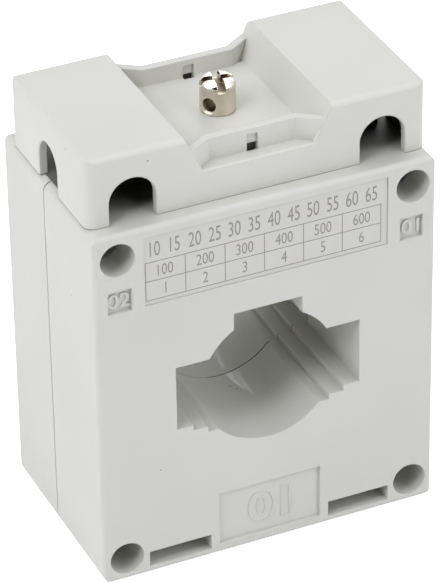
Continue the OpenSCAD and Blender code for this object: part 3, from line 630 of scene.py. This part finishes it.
def numeral(text, height, place, widen=1.0, rise=0.02, rounded=0.0, outline=0.0, fatten=0.0):
    # a plain number that stands upright, faces the front and is centred on its place
    deselectAll()
    bpy.ops.object.text_add(location=(0, 0, 0))
    mark = bpy.context.object
    mark.data.body = text
    mark.data.size = height / typeface["capHeight"] * mm
    mark.data.align_x = "CENTER"
    mark.data.resolution_u = typeface["curveSteps"]
    mark.data.offset = fatten * mm
    if outline:
        mark.data.fill_mode = "NONE"
        mark.data.bevel_depth = outline / 2 * mm
        mark.data.bevel_resolution = typeface["outlineSteps"]
    else:
        mark.data.extrude = rise / 2 * mm
        mark.data.bevel_depth = rounded * mm
        mark.data.bevel_resolution = 1
    pick(mark)
    bpy.ops.object.convert(target="MESH")
    mark = bpy.context.object
    corners = mark.bound_box
    middle = [(min(c[i] for c in corners) + max(c[i] for c in corners)) / 2 for i in (0, 1)]
    for vertex in mark.data.vertices:
        vertex.co.x = (vertex.co.x - middle[0]) * widen
        vertex.co.y -= middle[1]
    mark.rotation_euler = (math.radians(90), 0, 0)
    mark.location = Vector(place) * mm
    applyPlace(mark)
    return mark


labelPrint = {
    "spread": 0.12, "edge": 0.04, "faceSlack": 0.01,
    "columns": 6, "rows": 2, "columnWidth": 6.87, "left": 0.07, "bottom": 0.65, "rowHeight": 3.48,
    "line": 0.15, "ink": 0.02, "crossing": 0.8, "number": 2.05, "narrow": 0.72, "numberStep": 100,
    "headHeight": 2.7, "headNarrow": 0.6, "headRise": 2.35, "heads": 12, "headFrom": 10, "headStep": 5,
}
labelLow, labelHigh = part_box("rating_label")
label = mergedCopy("rating_label", "ratingLabel")
labelMiddle = (labelLow + labelHigh) / 2
editMode(label)
bpy.ops.mesh.select_all(action="SELECT")
wider, taller = (1 + 2 * labelPrint["spread"] * mm / side
                 for side in (labelHigh.x - labelLow.x, labelHigh.z - labelLow.z))
bpy.ops.transform.resize(value=(wider, 1, taller), center_override=labelMiddle)
objectMode()
roundEdges(label, labelPrint["edge"],
           lambda middle, edge: middle.y < labelLow.y / mm + labelPrint["faceSlack"])
finishPiece(label, labelFilm, ["rating_label"])
labelFace = labelLow.y / mm
tableLeft = labelLow.x / mm + labelPrint["left"]
tableLow = labelLow.z / mm + labelPrint["bottom"]
tableHigh = tableLow + labelPrint["rows"] * labelPrint["rowHeight"]
tableRight = tableLeft + labelPrint["columns"] * labelPrint["columnWidth"]


def inkLine(low, high):
    # a ruled line of ink between two corners on the label; upright lines lie a little lower
    bpy.ops.mesh.primitive_cube_add(size=1, location=(0, 0, 0))
    line = bpy.context.object
    half = labelPrint["line"] / 2
    deep = labelPrint["ink"] * (1.0 if high[0] > low[0] else labelPrint["crossing"])
    line.scale = ((high[0] - low[0] + 2 * half) * mm, deep * mm, (high[1] - low[1] + 2 * half) * mm)
    line.location = Vector(((low[0] + high[0]) / 2, labelFace, (low[1] + high[1]) / 2)) * mm
    applyPlace(line)
    return line


deselectAll()
printed = []
for column in range(labelPrint["columns"] + 1):
    x = tableLeft + column * labelPrint["columnWidth"]
    printed.append(inkLine((x, tableLow), (x, tableHigh)))
for row in range(labelPrint["rows"] + 1):
    z = tableLow + row * labelPrint["rowHeight"]
    printed.append(inkLine((tableLeft, z), (tableRight, z)))
for column in range(labelPrint["columns"]):
    x = tableLeft + (column + 0.5) * labelPrint["columnWidth"]
    for row, text in ((0, str(column + 1)), (1, str(labelPrint["numberStep"] * (column + 1)))):
        z = tableLow + (row + 0.5) * labelPrint["rowHeight"]
        printed.append(numeral(text, labelPrint["number"], (x, labelFace, z),
                               labelPrint["narrow"], labelPrint["ink"]))
for heading in range(labelPrint["heads"]):
    x = tableLeft + (heading + 0.5) * (tableRight - tableLeft) / labelPrint["heads"]
    text = str(labelPrint["headFrom"] + labelPrint["headStep"] * heading)
    printed.append(numeral(text, labelPrint["headHeight"], (x, labelFace, tableHigh + labelPrint["headRise"]),
                           labelPrint["headNarrow"], labelPrint["ink"]))
finishPiece(joinUp(printed, "labelPrint"), labelInk)


raisedMarks = {
    "spotX": 25.6, "spotZ": 53.9, "spotFloor": 0.7, "spotNumber": 2.6, "spotRaise": 0.45,
    "footZ": 6.9, "footFloor": 0.5, "footNumber": 5.6, "footLine": 0.34, "footFatten": 0.28,
    "softness": 0.06, "widen": 1.1,
}
spotY = frontY + raisedMarks["spotFloor"]
marks = []
for text, side in (("02", -1), ("01", 1)):
    spot = (side * raisedMarks["spotX"], spotY, raisedMarks["spotZ"])
    marks.append(numeral(text, raisedMarks["spotNumber"], spot, raisedMarks["widen"],
                         raisedMarks["spotRaise"], raisedMarks["softness"]))
foot = (0, frontY + raisedMarks["footFloor"], raisedMarks["footZ"])
marks.append(numeral("01", raisedMarks["footNumber"], foot, raisedMarks["widen"],
                     outline=raisedMarks["footLine"], fatten=raisedMarks["footFatten"]))
finishPiece(joinUp(marks, "raisedNumbers"), casePlastic)


glueSmear = {
    "front": [(0.93, 1.26), (3.57, 1.02), (2.88, -1.9), (2.9, -4.6), (2.73, -7.28), (2.0, -5.2),
              (1.45, -3.0), (1.1, -0.9)],
    "rear": [(1.75, 8.6), (2.7, 8.6), (2.35, 5.6), (2.2, 3.3), (1.3, 3.1), (1.6, 5.6)],
    "height": 21.4, "thick": 0.02, "cuts": 5,
}


def glintOnBore(outline, shellName):
    # a thin patch of painted highlight, flat at first, that is laid down on the bore of that half of the case
    deselectAll()
    bpy.ops.mesh.primitive_circle_add(vertices=len(outline), radius=mm, fill_type="NGON")
    patch = bpy.context.object
    for vertex, (x, y) in zip(patch.data.vertices, outline):
        vertex.co = Vector((x, y, glueSmear["height"])) * mm
    editMode(patch)
    bpy.ops.mesh.select_all(action="SELECT")
    bpy.ops.mesh.normals_make_consistent(inside=False)
    bpy.ops.mesh.poke()
    bpy.ops.mesh.subdivide(number_cuts=glueSmear["cuts"])
    objectMode()
    onBore = patch.modifiers.new("onBore", "SHRINKWRAP")
    onBore.target = bpy.data.objects[shellName]
    onBore.wrap_method = "PROJECT"
    onBore.use_project_z = True
    onBore.use_negative_direction = True
    onBore.use_positive_direction = False
    onBore.offset = glueSmear["thick"] * mm
    applyModifiers(patch)
    return patch


glintPatches = [glintOnBore(glueSmear["front"], "frontShell"), glintOnBore(glueSmear["rear"], "rearShell")]
finishPiece(joinUp(glintPatches, "glueSmear"), paintedGlint)


studio = {
    "floorSize": 6.0, "floorGap": 0.02, "paperFrom": "#FDFDFD", "paperTo": "#FBFBFB", "paperMark": 60,
    "paperRough": 0.9, "paperGlow": 0.6, "mirrored": 0.9, "ambient": 0.02, "aimAt": 0.04,
    "darkFrom": (-0.375, -0.834, 0.407), "darkWide": 36, "darkFade": 8, "darkLevel": 0.02,
    "tint": (0.935, 0.94, 1.0),
    "lamps": [
        ("leftSoftBox", 6.2, 0.9, (-1.25, 0, 0.45)),
        ("upperLeftSoftBox", 5.3, 1.4, (-0.9, 0, 1.0)),
        ("rightFrontSoftBox", 14.0, 1.4, (0.9, -0.9, 0.45)),
        ("topSoftBox", 15.8, 2.0, (0, 0, 1.5)),
        ("backRightSoftBox", 3.5, 1.4, (0.8, 0.8, 0.9)),
        ("smallSpot", 4.1, 0.3, (-0.85, -0.45, 1.0)),
    ],
}
cameraFit = {
    "place": (-219.27, -490.48, 380.37), "azimuth": -24.07, "elevation": 32.49, "roll": -0.985,
    "lens": 238.53, "sensor": 36, "clipStart": 0.01,
}

deselectAll()
bpy.ops.mesh.primitive_plane_add(size=studio["floorSize"],
                                 location=(0, 0, cadBox[0].z - studio["floorGap"] * mm))
floor = bpy.context.object
floor.name = "floor"
floorMaterial, floorTree, floorShader, floorPlace = newMaterial("whitePaperFloor")
paper = addNode(floorTree, "ShaderNodeTexNoise", {"Scale": perMetre(studio["paperMark"]), "Detail": 2.0},
                {"Vector": floorPlace})
paperColour = mixColours(floorTree, paper.outputs["Fac"], linear(studio["paperFrom"]),
                         linear(studio["paperTo"]))
floorTree.links.new(paperColour, floorShader.inputs["Base Color"])
floorShader.inputs["Roughness"].default_value = studio["paperRough"]
floorRay = addNode(floorTree, "ShaderNodeLightPath")
glow = addNode(floorTree, "ShaderNodeMath", {"operation": "MULTIPLY"},
               {0: floorRay.outputs["Is Camera Ray"]})
glow.inputs[1].default_value = studio["paperGlow"]
floorTree.links.new(glow.outputs[0], floorShader.inputs["Emission Strength"])
floorShader.inputs["Emission Color"].default_value = (1, 1, 1, 1)
floor.data.materials.append(floorMaterial)

camera = bpy.data.objects.new("camera", bpy.data.cameras.new("camera"))
bpy.context.scene.collection.objects.link(camera)
tilt = math.radians(90 - cameraFit["elevation"])
aim = Euler((tilt, 0, math.radians(cameraFit["azimuth"]))).to_matrix()
turned = aim @ Matrix.Rotation(math.radians(cameraFit["roll"]), 3, "Z")
camera.matrix_world = Matrix.Translation(Vector(cameraFit["place"]) * mm) @ turned.to_4x4()
camera.data.lens = cameraFit["lens"]
camera.data.sensor_width = cameraFit["sensor"]
camera.data.clip_start = cameraFit["clipStart"]
bpy.context.scene.camera = camera


def softBox(name, power, size, place):
    bpy.ops.object.light_add(type="AREA", location=place)
    lamp = bpy.context.object
    lamp.name = name
    lamp.data.energy = power
    lamp.data.size = size
    lamp.data.color = studio["tint"]
    towards = Vector((0, 0, studio["aimAt"])) - Vector(place)
    lamp.rotation_euler = towards.to_track_quat("-Z", "Y").to_euler()


for lampName, power, size, place in studio["lamps"]:
    softBox(lampName, power, size, place)

world = bpy.data.worlds.new("studio")
bpy.context.scene.world = world
world.use_nodes = True
worldTree = world.node_tree
worldTree.nodes.clear()
ray = addNode(worldTree, "ShaderNodeLightPath")
plain = (1, 1, 1, 1)
ambient = addNode(worldTree, "ShaderNodeBackground", {"Color": plain, "Strength": studio["ambient"]})
mirrored = addNode(worldTree, "ShaderNodeBackground", {"Color": plain, "Strength": studio["mirrored"]})
toWorld = addNode(worldTree, "ShaderNodeTexCoord")
facing = addNode(worldTree, "ShaderNodeVectorMath", {"operation": "DOT_PRODUCT"},
                 {0: toWorld.outputs["Generated"]})
facing.inputs[1].default_value = Vector(studio["darkFrom"]).normalized()
# polished metal mirrors one dark patch, as of a black card beside the bench
dark = addNode(worldTree, "ShaderNodeMapRange",
               {"From Min": math.cos(math.radians(studio["darkWide"])),
                "From Max": math.cos(math.radians(studio["darkWide"] - studio["darkFade"])),
                "To Min": studio["mirrored"], "To Max": studio["darkLevel"]},
               {"Value": facing.outputs["Value"]})
worldTree.links.new(dark.outputs["Result"], mirrored.inputs["Strength"])
white = addNode(worldTree, "ShaderNodeBackground", {"Color": plain, "Strength": 1.0})
inMirror = addNode(worldTree, "ShaderNodeMixShader",
                   links={0: ray.outputs["Is Glossy Ray"], 1: ambient.outputs[0], 2: mirrored.outputs[0]})
mixed = addNode(worldTree, "ShaderNodeMixShader",
                links={0: ray.outputs["Is Camera Ray"], 1: inMirror.outputs[0], 2: white.outputs[0]})
addNode(worldTree, "ShaderNodeOutputWorld", links={"Surface": mixed.outputs[0]})
bpy.context.scene.view_settings.view_transform = "Standard"
print("studio ready")
